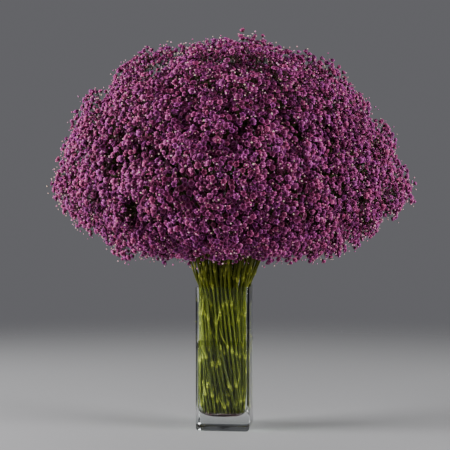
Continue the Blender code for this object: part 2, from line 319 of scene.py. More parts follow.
water = Finish("vase_water", Transmission_Weight=1.0, IOR=1.333, Roughness=0.0)
water.feed({"Specular Tint": FAINT_MIRROR})
# Painted reflection: a speckled purple veil near the water's floor, for the head seen reflected in the
# bowl.
veil = water.slope(water.height(), FLOOR, FLOOR + VEIL_DEPTH, 1.0, 0.0)
veil = veil * water.speckle(VEIL_SCALE) * VEIL_DENSITY
water.feed({"Base Color": water.blend(veil, CLEAR_WATER, PAINTED_HEAD_REFLECTION)})
water.let_light_through(WATER_SHADOW)

pool = Pile()
pool.add(*closed_rings(square_rings(water_profile)))
pool.piece("vase_water", water, "water")


# The head is half of a slightly flattened ball over a cone, cut level over the vase's mouth,
# with the shallow lumps that its sprays make. Every spray ends in flat-topped clusters: most of
# them make the dome's surface, and the others stand deeper in it, under its gaps.
DOME_RADIUS = 0.330
DOME_RISE = 0.310
DOME_CENTRE = np.array([0.010, 0.0, 0.419])
UNDERSIDE_SLOPE = 0.741
UNDERSIDE_DEPTH = 0.241
NECK_DROP = 0.086
NECK_RADIUS = 0.106
EDGE_SHARPNESS = 14
LUMP_SHARE = 0.055
LUMP_SIZE = 2.3
LUMP_PLACE = np.array([29, -32, -23])
CLUMP_RISE = 0.012
CLUMP_SIZE = 8.5
SURFACE_DEPTH = 0.010
GOLDEN_ANGLE = math.pi * (3 - math.sqrt(5))
OUTLINE_STEPS = 400
OUTER_CLUSTERS = 580
INNER_CLUSTERS = 870
CLUSTERS = OUTER_CLUSTERS + INNER_CLUSTERS
CLUSTER_SCATTER = 0.20
CLUSTER_RISE = 0.009
STRAY_SHARE = 0.04
STRAY_REACH = 0.012
INNER_DEPTH = (0.026, 0.096)
GAP_CHOICES = 6000
CLUSTER_HEIGHT = 0.032
ASKEW = (0.31, 0.72, 0.62)
SEED = 20

draw = np.random.default_rng(SEED)


def unit(vectors):
    """The vectors at length 1."""
    return vectors / np.linalg.norm(vectors, axis=-1, keepdims=True)


def dome_reach(polar):
    """Distance from the dome's centre to its surface at an angle from straight up.

    It is the soft minimum of the ball, the cone and the level plane.
    """
    ball = np.hypot(np.sin(polar) / DOME_RADIUS, np.cos(polar) / DOME_RISE)
    cone = np.maximum(0, (UNDERSIDE_SLOPE * np.sin(polar) - np.cos(polar)) / UNDERSIDE_DEPTH)
    plane = np.maximum(0, -np.cos(polar) / NECK_DROP)
    return (ball**EDGE_SHARPNESS + cone**EDGE_SHARPNESS + plane**EDGE_SHARPNESS) ** (-1 / EDGE_SHARPNESS)


def spread_over_dome(count):
    """Directions from the dome's centre, even over its area outside the neck, and scattered.

    The outline's swept area gives the angle from straight up, and the golden angle the turn.
    """
    polar = np.linspace(0, np.pi, OUTLINE_STEPS)
    reach = dome_reach(polar)
    radius, level = reach * np.sin(polar), reach * np.cos(polar)
    swept = np.cumsum((radius[1:] + radius[:-1]) * np.hypot(np.diff(radius), np.diff(level)))
    swept = np.concatenate([[0.0], swept])
    under = polar > np.pi / 2
    covered = np.interp(-NECK_RADIUS, -radius[under], swept[under])
    angle = np.interp((np.arange(count) + 0.5) / count * covered, swept, polar)
    turn = np.arange(count) * GOLDEN_ANGLE
    across = np.sin(angle)
    directions = np.stack([across * np.cos(turn), across * np.sin(turn), np.cos(angle)], axis=-1)
    spacing = math.sqrt(4 * math.pi / count)
    return unit(directions + draw.normal(0, CLUSTER_SCATTER * spacing, directions.shape))


def spread_under_gaps(taken, count):
    """Directions added one by one, each the farthest from all that are taken."""
    choices = spread_over_dome(GAP_CHOICES)
    nearness = (choices @ taken.T).max(axis=1)
    chosen = []
    for _ in range(count):
        chosen.append(choices[np.argmin(nearness)])
        nearness = np.maximum(nearness, choices @ chosen[-1])
    return np.array(chosen)


def lumps(directions, size, place=0.0):
    """Smooth noise between -1 and 1 at directions from the dome's centre."""
    return np.array([noise.noise(direction * size + place) for direction in directions])


def on_dome(directions):
    """Points where directions from the dome's centre meet its lumpy surface."""
    reach = dome_reach(np.arccos(np.clip(directions[:, 2], -1, 1)))
    reach = reach * (1 + LUMP_SHARE * lumps(directions, LUMP_SIZE, LUMP_PLACE))
    return DOME_CENTRE + directions * reach[:, None]


SPRAYS = sum(name.startswith("florets_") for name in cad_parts)


def solid_points(node):
    """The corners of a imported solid."""
    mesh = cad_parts[node].data
    points = np.empty(len(mesh.vertices) * 3)
    mesh.vertices.foreach_get("co", points)
    return np.unique(points.reshape(-1, 3).round(6), axis=0)


outward = spread_over_dome(OUTER_CLUSTERS)
outward = np.concatenate([outward, spread_under_gaps(outward, INNER_CLUSTERS)])
is_outer = np.arange(CLUSTERS) < OUTER_CLUSTERS
surface_depth = draw.normal(SURFACE_DEPTH, CLUSTER_RISE, CLUSTERS)
surface_depth -= STRAY_REACH * (draw.random(CLUSTERS) < STRAY_SHARE)
depth = np.where(is_outer, surface_depth, draw.uniform(*INNER_DEPTH, CLUSTERS))
depth -= CLUMP_RISE * lumps(outward, CLUMP_SIZE)
cluster_root = on_dome(outward) - outward * (depth + CLUSTER_HEIGHT)[:, None]
head_points = [solid_points(f"florets_{number + 1:02d}") for number in range(SPRAYS)]
head_owner = np.repeat(np.arange(SPRAYS), [len(points) for points in head_points])
head_way = unit(np.concatenate(head_points) - DOME_CENTRE)
cluster_spray = head_owner[np.argmax(outward @ head_way.T, axis=1)]


# Each cluster forks into a few twigs, and each twig into stalks with a floret or a bud, which
# stand as evenly as seeds in a seed head. Florets that would press together part.
TWIGS = 5
TWIG_RISE = 0.014
TWIG_REACH = 0.009
TWIG_LENGTH = (0.6, 1.3)
CLUSTER_SAG = 0.055
FLORETS = 12
FLORET_STEP = 0.0066
FLORET_SCATTER = np.array([0.0020, 0.0020, 0.0048])
FLORET_SPACING = 0.0096
PARTING_ROUNDS = 4
FLORET_LEAN = 0.55
FLORET_SWAY = 0.24
BUDS = (14, 5)
BUD_STEP = 0.0076
BUD_RISE = 0.0035
BUD_SCATTER = np.array([0.003, 0.003, 0.006])
TINY = 1e-6

side = unit(np.cross(outward, ASKEW))
axes = np.stack([side, np.cross(outward, side), outward], axis=1)
cluster_turn = draw.uniform(0, 2 * np.pi, CLUSTERS)


def seed_head(clusters, count, step, rise, scatter):
    """Places on flat-topped clusters, and the twig and the way out of each.

    Place number n lies at step times the root of n from the middle and turns by the golden
    angle. The top sags towards its rim as a ball does. A twig takes an equal slice of the turn.
    """
    number = np.arange(count) + 0.5
    turn = (number * GOLDEN_ANGLE) % (2 * np.pi)
    radius = step * np.sqrt(number)
    spin = turn[None] + cluster_turn[clusters][:, None]
    x, y, level = np.cos(spin) * radius, np.sin(spin) * radius, 0 * spin
    flat = np.stack([x, y, level + rise - radius**2 / (2 * CLUSTER_SAG)], axis=-1)
    flat = flat + draw.normal(0, 1, (len(clusters), count, 3)) * scatter
    places = cluster_root[clusters][:, None] + np.einsum("cnk,ckx->cnx", flat, axes[clusters])
    splay = np.stack([x, y, level], axis=-1) / (step * math.sqrt(count))
    way = np.einsum("cnk,ckx->cnx", splay * FLORET_LEAN, axes[clusters])
    way = way + outward[clusters][:, None]
    way = unit(way + draw.normal(0, FLORET_SWAY, way.shape))
    twig = clusters[:, None] * TWIGS + (turn / (2 * np.pi) * TWIGS).astype(int)[None]
    return places.reshape(-1, 3), way.reshape(-1, 3), twig.ravel()


def part_florets(centres, spacing, rounds):
    """Moves centres that are nearer than spacing apart, each by half of what is missing."""
    for _ in range(rounds):
        tree = KDTree(len(centres))
        for number, centre in enumerate(centres):
            tree.insert(centre, number)
        tree.balance()
        near = []
        for number, centre in enumerate(centres):
            found = [other for _, other, _ in tree.find_range(centre, spacing)]
            near += [(number, other) for other in found if number < other]
        first, second = np.array(near).T
        gap = centres[second] - centres[first]
        distance = np.maximum(np.linalg.norm(gap, axis=1, keepdims=True), TINY)
        move = gap * (0.5 * (spacing / distance - 1))
        push = np.zeros_like(centres)
        np.add.at(push, second, move)
        np.add.at(push, first, -move)
        centres = centres + np.clip(push, -spacing / 2, spacing / 2)
    return centres


twig_turn = cluster_turn[:, None] + (np.arange(TWIGS) + 0.5) / TWIGS * 2 * np.pi
twig_flat = [np.cos(twig_turn) * TWIG_REACH, np.sin(twig_turn) * TWIG_REACH, 0 * twig_turn + TWIG_RISE]
twig_flat = np.stack(twig_flat, axis=-1) * draw.uniform(*TWIG_LENGTH, (CLUSTERS, TWIGS, 1))
twig_end = (cluster_root[:, None] + np.einsum("cnk,ckx->cnx", twig_flat, axes)).reshape(-1, 3)
twig_cluster = np.repeat(np.arange(CLUSTERS), TWIGS)

every = np.arange(CLUSTERS)
floret, way, twig = seed_head(every, FLORETS, FLORET_STEP, CLUSTER_HEIGHT, FLORET_SCATTER)
blooms = [(part_florets(floret, FLORET_SPACING, PARTING_ROUNDS), way, twig)]
for clusters, count in zip((every[is_outer], every[~is_outer]), BUDS):
    blooms.append(seed_head(clusters, count, BUD_STEP, CLUSTER_HEIGHT + BUD_RISE, BUD_SCATTER))
bloom, bloom_way, bloom_twig = (np.concatenate(column) for column in zip(*blooms))
bloom_cluster = twig_cluster[bloom_twig]
bloom_spray = cluster_spray[bloom_cluster]


# The stems are cut straight and stand on the vase's floor. They lean round it in the spiral in
# which the bunch was gathered, some cross the others, and each swells at its joints, where a
# pair of leaves was stripped.
BEND_HEIGHT = 0.258
SAME_HEIGHT = 0.002
BUNCH_RADIUS = 0.0395
GRID_LINES = 91
BUNCH_TURN = math.radians(42)
RIM_HEIGHT = VASE_TOP - 0.003
BUNCH_SPREAD = 1.22
CORNER_SPREAD = 0.80
FOOT_SPREAD = 1.10
FOOT_STRAY = 0.0085
EXTRA_SHARE = 2
EXTRA_STEMS = EXTRA_SHARE * SPRAYS
STEM_SPACING = 0.0078
PUSH_SHARE = 0.45
STRAIGHTEN_SHARE = 0.22
SETTLE_ROUNDS = 90
CORNER_CUT = 0.586
STEM_SIDES = 6
STEM_RADIUS = 0.0024
STEM_TOP_RADIUS = 0.0013
STEM_SIZES = (0.84, 1.12)
STEM_TAPER = 1.5
STEM_GAP = 0.0006
DISH_SHARE = 0.4
LEVELS = 14
HUB = np.array([0.004, 0.0, 0.366])
ROOT_SHARE = 0.52
FLARE = 0.5
BEND_START_REACH = 0.36
BEND_END_REACH = 0.33
BEND_STATIONS = 24
JOINTS = 7
FIRST_JOINT = (0.008, 0.055)
JOINT_SPACING = (0.062, 0.092)
JOINT_SWELL = 0.0011
JOINT_LENGTH = 0.0028
JOINT_LIFT = 0.0004
CROWDED_JOINTS = 0.004
NEAR_JOINT = np.array([-0.040, -0.020, -0.0045, 0.0, 0.0032, 0.012])
EVEN_SHARE = 0.001


def carry(points, radii, sides):
    """Closed tubes along paths: points is paths by stations by 3, and radii paths by stations.

    A ring at each station lies square to the path, and turns its first corner to one fixed side.
    """
    paths, stations, _ = points.shape
    along = unit(np.gradient(points, axis=1))
    fixed = np.eye(3)[np.argmin(np.abs(points[:, -1] - points[:, 0]), axis=1)][:, None]
    first = unit(fixed - along * (fixed * along).sum(axis=-1, keepdims=True))
    second = np.cross(along, first)
    turn = (np.arange(sides) / sides * 2 * np.pi)[:, None]
    ring = np.cos(turn) * first[:, :, None] + np.sin(turn) * second[:, :, None]
    rings = points[:, :, None] + ring * radii[:, :, None, None]
    index = np.arange(paths * stations * sides).reshape(paths, stations, sides)
    after = np.roll(index, -1, axis=2)
    walls = np.stack([index[:, :-1], after[:, :-1], after[:, 1:], index[:, 1:]], axis=-1)
    caps = np.concatenate([index[:, 0, ::-1], index[:, -1]])
    return rings, [walls, caps]


def curve(handles, stations):
    """Paths by stations by 3: Bezier curves from their first handles to their last.

    Handle number n of degree d weighs (1 - share)^(d - n) share^n, times d choose n.
    """
    degree = len(handles) - 1
    share = np.linspace(0, 1, stations)[None, :, None]
    path = 0
    for number, handle in enumerate(handles):
        weight = math.comb(degree, number) * (1 - share) ** (degree - number) * share**number
        path = path + weight * handle[:, None]
    return path


def mouths_of(node):
    """Where the two stems of a solid pass the bend over the vase's mouth."""
    ring = solid_points(node)
    ring = ring[np.abs(ring[:, 2] - BEND_HEIGHT) < SAME_HEIGHT]
    spread = ring - ring.mean(axis=0)
    order = np.argsort(spread @ np.linalg.svd(spread)[2][0])
    return [half.mean(axis=0)[:2] for half in np.array_split(ring[order], 2)]


def fill_gaps(places, count):
    """Adds places one by one, each where it is farthest from all the others in the bunch."""
    line = np.linspace(-BUNCH_RADIUS, BUNCH_RADIUS, GRID_LINES)
    grid = np.stack(np.meshgrid(line, line), axis=-1).reshape(-1, 2)
    grid = grid[np.hypot(*grid.T) < BUNCH_RADIUS]
    for _ in range(count):
        free = np.linalg.norm(grid[:, None] - places[None], axis=2).min(axis=1)
        places = np.vstack([places, grid[np.argmax(free)]])
    return places


def keep_inside(path, half):
    """Moves level places into a rounded square of the given half width."""
    path = np.clip(path, -half, half)
    over = np.abs(path).sum(axis=-1, keepdims=True) - (2 * half - CORNER_CUT * CAVITY_CORNER)
    return path - np.sign(path) * np.clip(over, 0, None) / 2


def settle(path, half, rounds):
    """Pushes stems apart at every level, then straightens them, and keeps them in the vase."""
    apart = np.eye(len(path))[:, :, None]
    for _ in range(rounds):
        gap = path[:, None] - path[None]
        distance = np.linalg.norm(gap, axis=-1) + apart
        missing = np.clip(STEM_SPACING - distance, 0, None) / (distance + TINY)
        path = path + PUSH_SHARE * (gap * missing[..., None]).sum(axis=1)
        path[:, 1:-1] += STRAIGHTEN_SHARE * (path[:, 2:] + path[:, :-2] - 2 * path[:, 1:-1])
        path = keep_inside(path, half)
    return path


mouth = np.concatenate([mouths_of(f"stems_{number + 1:02d}") for number in range(SPRAYS)])
mouth = fill_gaps(mouth, EXTRA_STEMS)
STEMS = len(mouth)
beside = np.linalg.norm(mouth[2 * SPRAYS :, None] - mouth[None, : 2 * SPRAYS], axis=2)
extra_spray = np.full(EXTRA_STEMS, -1)
for _ in range(EXTRA_STEMS):
    extra, neighbour = np.unravel_index(np.argmin(beside), beside.shape)
    spray = neighbour // 2
    extra_spray[extra] = spray
    beside[extra] = np.inf
    if np.count_nonzero(extra_spray == spray) == EXTRA_SHARE:
        beside[:, 2 * spray : 2 * spray + 2] = np.inf
stem_spray = np.concatenate([np.repeat(np.arange(SPRAYS), 2), extra_spray])

cosine, sine = math.cos(BUNCH_TURN), math.sin(BUNCH_TURN)
turned = np.array([[cosine, -sine], [sine, cosine]])
half_square = np.maximum(np.abs(mouth).max(axis=1), TINY)
squareness = (np.linalg.norm(mouth, axis=1) / half_square)[:, None] ** CORNER_SPREAD
foot = mouth @ turned.T * FOOT_SPREAD + draw.normal(0, FOOT_STRAY, (STEMS, 2))
mouth = mouth * squareness * BUNCH_SPREAD
climb = np.linspace(0, 1, LEVELS)[None, :, None]
level_height = FLOOR + (RIM_HEIGHT - FLOOR) * climb[0]
wall_gap = inner_half(level_height) - STEM_RADIUS - STEM_GAP
wall_gap = wall_gap - np.clip(DISH_SHARE * DISH_DEPTH - (level_height - FLOOR), 0, None)
inside = settle(foot[:, None] + (mouth - foot)[:, None] * climb, wall_gap, SETTLE_ROUNDS)
foot_edge = np.abs(inside[:, 0]).max(axis=1) + STEM_RADIUS
over = np.clip((foot_edge - inner_half(FLOOR)) / DISH_REACH + 1, 0, 1)
lower = np.concatenate([inside, np.broadcast_to(level_height, (STEMS, LEVELS, 1))], axis=2)
lower[:, 0, 2] += STEM_GAP + DISH_DEPTH * (1 - np.sqrt(1 - over**2))
mouth = lower[:, -1]

cluster_stem = np.empty(CLUSTERS, int)
for spray in range(SPRAYS):
    clusters = np.flatnonzero(cluster_spray == spray)
    stems = np.flatnonzero(stem_spray == spray)
    spread = cluster_root[clusters] - cluster_root[clusters].mean(axis=0)
    axis = np.linalg.svd(spread, full_matrices=False)[2][0]
    groups = np.array_split(clusters[np.argsort(spread @ axis)], len(stems))
    stems = stems[np.argsort(mouth[stems] @ axis)]
    for stem, group in zip(stems, groups):
        cluster_stem[group] = stem

aim = np.array([cluster_root[cluster_stem == stem].mean(axis=0) for stem in range(STEMS)])
stem_root = HUB + (aim - HUB) * ROOT_SHARE
lean = unit(lower[:, -1] - lower[:, -3])
away = unit(aim - HUB)
reach = np.linalg.norm(stem_root - mouth, axis=1, keepdims=True)
bend_start = mouth + unit(lean + away * FLARE) * reach * BEND_START_REACH
bend_end = stem_root - away * reach * BEND_END_REACH
upper = curve([mouth, bend_start, bend_end, stem_root], BEND_STATIONS)
route = np.concatenate([lower[:, :-1], upper], axis=1)
steps = np.linalg.norm(np.diff(route, axis=1), axis=2)
length = np.concatenate([np.zeros((STEMS, 1)), np.cumsum(steps, axis=1)], axis=1)
whole = length[:, -1:]

joint_gap = draw.uniform(*JOINT_SPACING, (STEMS, JOINTS))
joint_at = draw.uniform(*FIRST_JOINT, (STEMS, 1)) + np.cumsum(joint_gap, axis=1) - joint_gap[:, :1]
joint_at = np.minimum(joint_at, whole - CROWDED_JOINTS * np.arange(JOINTS, 0, -1))
station = (joint_at[:, :, None] + NEAR_JOINT).reshape(STEMS, -1)
station = np.concatenate([np.zeros((STEMS, 1)), station, whole], axis=1)
station = np.sort(station.clip(0, whole), axis=1)
even = whole * np.linspace(0, 1, station.shape[1])
station = (1 - EVEN_SHARE) * station + EVEN_SHARE * even


def along_route(distances):
    """Points of every stem's route at distances from its foot: stems by distances by 3."""
    points = np.empty((*distances.shape, 3))
    for stem in range(STEMS):
        for axis in range(3):
            points[stem, :, axis] = np.interp(distances[stem], length[stem], route[stem, :, axis])
    return points


stem_path = along_route(station)
joint_place = along_route(joint_at)
from_joint = (station[:, :, None] - joint_at[:, None] - JOINT_LIFT) / JOINT_LENGTH
swell = np.exp(-(from_joint**2)).max(axis=2)
thick = STEM_RADIUS * draw.uniform(*STEM_SIZES, (STEMS, 1))
taper = np.clip(station / whole, 0, 1) ** STEM_TAPER
stem_radius = thick + (STEM_TOP_RADIUS - thick) * taper + JOINT_SWELL * swell * (1 - taper / 2)


# Over the rim each stem forks again and again, in pairs, until every cluster has its branch.
# The branches thin out at each fork and keep two pairs of pointed bracts there. In the vase the
# joints keep torn leaves and cut side shoots, and the stems are darker below the water line.
BRANCH_SIDES = 4
BRANCH_STATIONS = 3
BRANCH_RADIUS = 0.00062
BRANCH_GROWTH = 0.42
FORK_SWELL = 0.6
FORK_SHARE = 0.46
BOW_REACH = 0.42
TWIG_SIDES = 3
TWIG_RADIUS = 0.00045
STALK_RADIUS = 0.00042
STALK_OVERRUN = 1.12
BRACT_LENGTH = (0.007, 0.012)
BRACT_GROWTH = 0.012
BRACT_WIDTH = 0.19
BRACT_KEEL = 0.05
BRACT_SPLAY = 0.9
TORN_LENGTH = (0.005, 0.010)
TORN_WIDTH = 0.42
TORN_KEEL = 0.08
TORN_SPLAY = 0.35
TORN_START = 0.8
TORN_BELOW = 0.30
LEAF_MIDDLE = 0.45
LEAF_FACES = np.array([[0, 1, 2], [0, 2, 3], [0, 3, 1], [1, 3, 2]])
SPIKE_FACES = np.array([[0, 1, 3], [1, 2, 3], [2, 0, 3], [2, 1, 0]])
SHOOT_SHARE = 0.45
SHOOT_START_SPLAY = 0.8
SHOOT_SPLAY = 0.32
SHOOT_ROOM = (-0.0432, 0.0432)
SHOOT_LENGTH = (0.014, 0.036)
SHOOT_STATIONS = 4
SHOOT_RADII = (0.0014, 0.00084)
STEM_AGE = 0.6
AGEING_HEIGHTS = (0.33, 0.47)
BRANCH_AGES = (0.5, 0.95)
AGE_PER_BRANCH = 0.06
TWIG_AGE = 0.9
BRACT_AGE = 0.7
TORN_PALE = 0.8
SHOOT_PALE = (0.9, 0.2)
DARK_GREEN = (0.038, 0.047, 0.0006, 1.0)
LIGHT_GREEN = (0.162, 0.182, 0.003, 1.0)
STREAK_GREEN = (0.020, 0.026, 0.0005, 1.0)
UNDERWATER_GREEN = (0.010, 0.013, 0.0002, 1.0)
PALE_JOINT = (0.440, 0.450, 0.050, 1.0)
AGED_BROWN = (0.030, 0.026, 0.009, 1.0)
PATCH_SCALE = 34.0
STREAK_SCALE = 260.0
STREAK_SHARE = 0.35
UNDERWATER_SHARE = 0.4
JOINT_SHARE = 0.70


def fork_out(start, way, tips, made):
    """Branches from start to all tips: halve the tips, step part of the way to each half, repeat."""
    if len(tips) == 1:
        made.append((start, way, tips[0], 1))
        return
    spread = tips - tips.mean(axis=0)
    order = np.argsort(spread @ np.linalg.svd(spread, full_matrices=False)[2][0])
    for half in np.array_split(tips[order], 2):
        if len(half) == 1:
            made.append((start, way, half[0], 1))
            continue
        fork = start + (half.mean(axis=0) - start) * FORK_SHARE
        made.append((start, way, fork, len(half)))
        fork_out(fork, unit(fork - start), half, made)


def bowed(start, way, end, stations):
    """Paths that leave start along way and bow over to end."""
    span = np.linalg.norm(end - start, axis=1, keepdims=True)
    return curve([start, start + way * span * BOW_REACH, end], stations)


def copied(faces, count, corners):
    """The faces of a shape for each of its copies, which have so many corners each."""
    return [faces + np.arange(count)[:, None, None] * corners]


def spikes(start, end, radius):
    """Thin three-sided spikes from start to end, closed at their foot."""
    way = unit(end - start)
    side = unit(np.cross(way, ASKEW))
    turn = np.arange(3)[:, None] / 3 * 2 * np.pi
    ring = np.cos(turn) * side[:, None] + np.sin(turn) * np.cross(way, side)[:, None]
    points = np.concatenate([start[:, None] + ring * radius, end[:, None]], axis=1)
    return points, copied(SPIKE_FACES, len(start), 4)


def leaves(roots, ways, faces_to, lengths, width, keel):
    """Pointed leaves: a diamond folded along its rib and closed under it, four faces each."""
    side = unit(np.cross(ways, faces_to))
    up = np.cross(side, ways)
    size = lengths[:, None]
    middle = roots + size * (ways * LEAF_MIDDLE + up * keel)
    edge = side * size * width / 2
    corners = np.stack([roots, middle + edge, roots + ways * size, middle - edge], axis=1)
    return corners, copied(LEAF_FACES, len(roots), 4)


green = Finish("green_stem", Roughness=0.40, Specular_IOR_Level=0.20)
streak = green.speckle(STREAK_SCALE, 3.0)
patch = green.speckle(PATCH_SCALE, 1.0)
# The stems are darker below the water line.
under_water = green.slope(green.height(), WATER_LEVEL, WATER_LEVEL + MENISCUS, UNDERWATER_SHARE, 0.0)
fresh = green.blend(patch, DARK_GREEN, LIGHT_GREEN)
fresh = green.blend(streak * STREAK_SHARE, fresh, STREAK_GREEN)
fresh = green.blend(under_water, fresh, UNDERWATER_GREEN)
knotted = green.blend(green.mark("knot") * JOINT_SHARE, fresh, PALE_JOINT)
green.feed({"Base Color": green.blend(green.mark("age"), knotted, AGED_BROWN)})
green.bump(streak, strength=0.25, distance=0.0003)


def add_stems(pile, stems):
    """The stems themselves, which are browner higher up and paler at their joints."""
    rings, faces = carry(stem_path[stems], stem_radius[stems], STEM_SIDES)
    own_age = np.interp(stem_path[stems][..., 2], AGEING_HEIGHTS, (0, STEM_AGE))
    own_age, pale = np.repeat(own_age, STEM_SIDES), np.repeat(swell[stems], STEM_SIDES)
    pile.add(rings, faces, age=own_age, knot=pale)


def add_branches(pile, stems):
    """The branches, and the place, way and number of clusters ahead of each fork in them."""
    made = []
    for stem in stems:
        tips = cluster_root[cluster_stem == stem]
        fork_out(stem_root[stem], unit(stem_path[stem, -1] - stem_path[stem, -3]), tips, made)
    start, way, end, weight = (np.array(column) for column in zip(*made))
    thick_start = (BRANCH_RADIUS * (weight + FORK_SWELL) ** BRANCH_GROWTH)[:, None]
    thick_end = (BRANCH_RADIUS * weight**BRANCH_GROWTH)[:, None]
    radii = thick_start + (thick_end - thick_start) * np.linspace(0, 1, BRANCH_STATIONS)
    rings, faces = carry(bowed(start, way, end, BRANCH_STATIONS), radii, BRANCH_SIDES)
    branch_age = np.clip(BRANCH_AGES[1] - AGE_PER_BRANCH * weight, *BRANCH_AGES)
    pile.add(rings, faces, age=np.repeat(branch_age, BRANCH_STATIONS * BRANCH_SIDES))
    forks = weight > 1
    return end[forks], unit(end[forks] - start[forks]), weight[forks]


def add_twigs(pile, spray):
    """The twigs of the spray's clusters, and a stalk from a twig to each floret and bud."""
    twigs = np.flatnonzero(cluster_spray[twig_cluster] == spray)
    path = bowed(cluster_root[twig_cluster[twigs]], outward[twig_cluster[twigs]], twig_end[twigs], 2)
    rings, faces = carry(path, np.full(path.shape[:2], TWIG_RADIUS), TWIG_SIDES)
    pile.add(rings, faces, age=TWIG_AGE)
    own = bloom_spray == spray
    begin = twig_end[bloom_twig[own]]
    points, faces = spikes(begin, begin + (bloom[own] - begin) * STALK_OVERRUN, STALK_RADIUS)
    pile.add(points, faces, age=TWIG_AGE)


def add_bracts(pile, forks, fork_way, weight):
    """Two pairs of bracts at each fork, longer where more clusters lie ahead."""
    across = unit(np.cross(fork_way, draw.normal(0, 1, fork_way.shape)))
    for side in (across, -across, np.cross(fork_way, across), np.cross(across, fork_way)):
        lengths = draw.uniform(*BRACT_LENGTH, len(forks)) + BRACT_GROWTH * np.sqrt(weight)
        ways = unit(fork_way + side * BRACT_SPLAY)
        points, faces = leaves(forks, ways, fork_way, lengths, BRACT_WIDTH, BRACT_KEEL)
        pile.add(points, faces, age=BRACT_AGE)


def add_torn_leaves(pile, stems):
    """What is left of the leaves at the joints low on the stems, and the cut side shoots there."""
    roots = joint_place[stems].reshape(-1, 3)
    joint_way = np.repeat(unit(lower[stems, -1] - lower[stems, 0]), JOINTS, axis=0)
    low = roots[:, 2] < TORN_BELOW
    roots, joint_way = roots[low], joint_way[low]
    across = unit(np.cross(joint_way, draw.normal(0, 1, roots.shape)))
    lengths = draw.uniform(*TORN_LENGTH, len(roots))
    for side in (-across, across):
        ways = unit(joint_way + side * TORN_SPLAY)
        begin = roots + side * STEM_RADIUS * TORN_START
        points, faces = leaves(begin, ways, side, lengths, TORN_WIDTH, TORN_KEEL)
        pile.add(points, faces, knot=TORN_PALE)

    shoots = np.flatnonzero(draw.random(len(roots)) < SHOOT_SHARE)
    begin, way = roots[shoots], joint_way[shoots]
    aside = unit(np.cross([0, 0, 1], begin)) * draw.choice([-1, 1], (len(shoots), 1))
    tip = begin + (way + aside * SHOOT_SPLAY) * draw.uniform(*SHOOT_LENGTH, (len(shoots), 1))
    path = bowed(begin, unit(way + aside * SHOOT_START_SPLAY), tip, SHOOT_STATIONS)
    path[..., :2] = np.clip(path[..., :2], *SHOOT_ROOM)
    radii = np.broadcast_to(np.linspace(*SHOOT_RADII, SHOOT_STATIONS), path.shape[:2])
    rings, faces = carry(path, radii, BRANCH_SIDES)
    pale = np.repeat(np.linspace(*SHOOT_PALE, SHOOT_STATIONS), BRANCH_SIDES)
    pile.add(rings, faces, knot=np.tile(pale, len(shoots)))


for spray in range(SPRAYS):
    stalks = Pile("age", "knot")
    stems = np.flatnonzero(stem_spray == spray)
    add_stems(stalks, stems)
    fork_ends = add_branches(stalks, stems)
    add_twigs(stalks, spray)
    add_bracts(stalks, *fork_ends)
    add_torn_leaves(stalks, stems)
    stalks.piece(f"stalks_{spray + 1:02d}", green, f"stems_{spray + 1:02d}")


# A floret is double: whorls of blunt petals, the outer one spread and the inner ones upright,
# on a small green cup. Its heart is painted dark as painted shade, and its rims painted light as
# a painted highlight. Deep in the head the florets have fewer petals, and are painted darker as
# painted shade.
FLORET_RADIUS = 0.0057
FLORET_SIZES = (0.86, 1.12)
FULL_OPENNESS = np.linspace(0.72, 1.04, 5)
PLAIN_OPENNESS = (0.8, 1.0)
PETAL_SIZES = (0.90, 1.08)
PETAL_STRAY = 0.05
HEART_MARK = 0.08
BUD_RADIUS = (0.0010, 0.0018)
BUD_SIDES = 5
BUD_SHOULDER = 0.2
BUD_LENGTH = 1.3
# Painted shade grows with a cluster's depth in the head, up to DEEP_SHADE; some florets also get a
# random duller tone.
SHADE_DEPTH = (0.018, 0.070)
DEEP_SHADE = 0.50
FLORET_DULL = 0.35
FLORET_TONES = (0.42, 0.32)
BUD_PALE_POWER = 1.3
# Rim colours in two random tones, both much lighter than the flesh: a painted highlight on the petal
# edges.
PALE_RIM = (0.72, 0.12, 0.62, 1.0)
PINK_RIM = (1.00, 0.20, 0.47, 1.0)
PURPLE_FLESH = (0.15, 0.006, 0.095, 1.0)
RED_FLESH = (0.25, 0.010, 0.10, 1.0)
# The colour painted into each floret's heart as painted shade in its cup.
PAINTED_HEART_SHADE = (0.070, 0.003, 0.030, 1.0)
FLECK_DYE = (0.17, 0.006, 0.10, 1.0)
PINK_PEARL = (1.0, 0.56, 0.76, 1.0)
CREAM_PEARL = (1.0, 0.86, 0.60, 1.0)
# Painted shade: the dark colour that deep florets fade towards, also used for the random duller tone of
# some.
PAINTED_DEEP_SHADE_AND_DULL_TONE = (0.030, 0.0005, 0.012, 1.0)
CUP_GREEN = (0.080, 0.070, 0.022, 1.0)
RIM_MARKS = (0.52, 1.0)
HEART_MARKS = (0.0, 0.5)
CUP_MARKS = (-0.5, 0.0)
HEART_SHARE = 0.85
FLECK_SHARE = 0.30
FLECK_SCALE = 900.0
PETAL_ROUGHNESS = 0.60
PEARL_GLOSS = 0.34

# Points along a petal's rim: a share of its turn, its reach, its drop and its mark.
BLUNT = [(-0.27, 1.0, 0.0, 1.0), (0.27, 1.0, 0.0, 1.0), (0.5, 0.60, -0.5, 0.42)]
POINTED = [(0.0, 1.0, 0.0, 1.0), (0.5, 0.62, -0.6, 0.42)]
PLAIN = [(0.0, 1.0, 0.0, 1.0)]

# Whorls: petals, their rim, radius, height, the middle's height, the underside's, and its mark.
FULL_FLORET = [
    (5, BLUNT, 1.00, 0.20, -0.10, -0.80, -1.0),
    (5, POINTED, 0.80, 0.46, 0.02, -0.12, 0.1),
    (3, POINTED, 0.44, 0.64, 0.16, 0.02, 0.1),
]
PLAIN_FLORET = [(5, PLAIN, 1.10, 0.34, 0.10, -0.80, -1.0)]


def fans(count):
    """Triangles from a ring of points up to the point after them, and down to the next."""
    around = np.arange(count)
    after = np.roll(around, -1)
    top = np.stack([around, after, np.full(count, count)], axis=-1)
    under = np.stack([after, around, np.full(count, count + 1)], axis=-1)
    return np.concatenate([top, under])


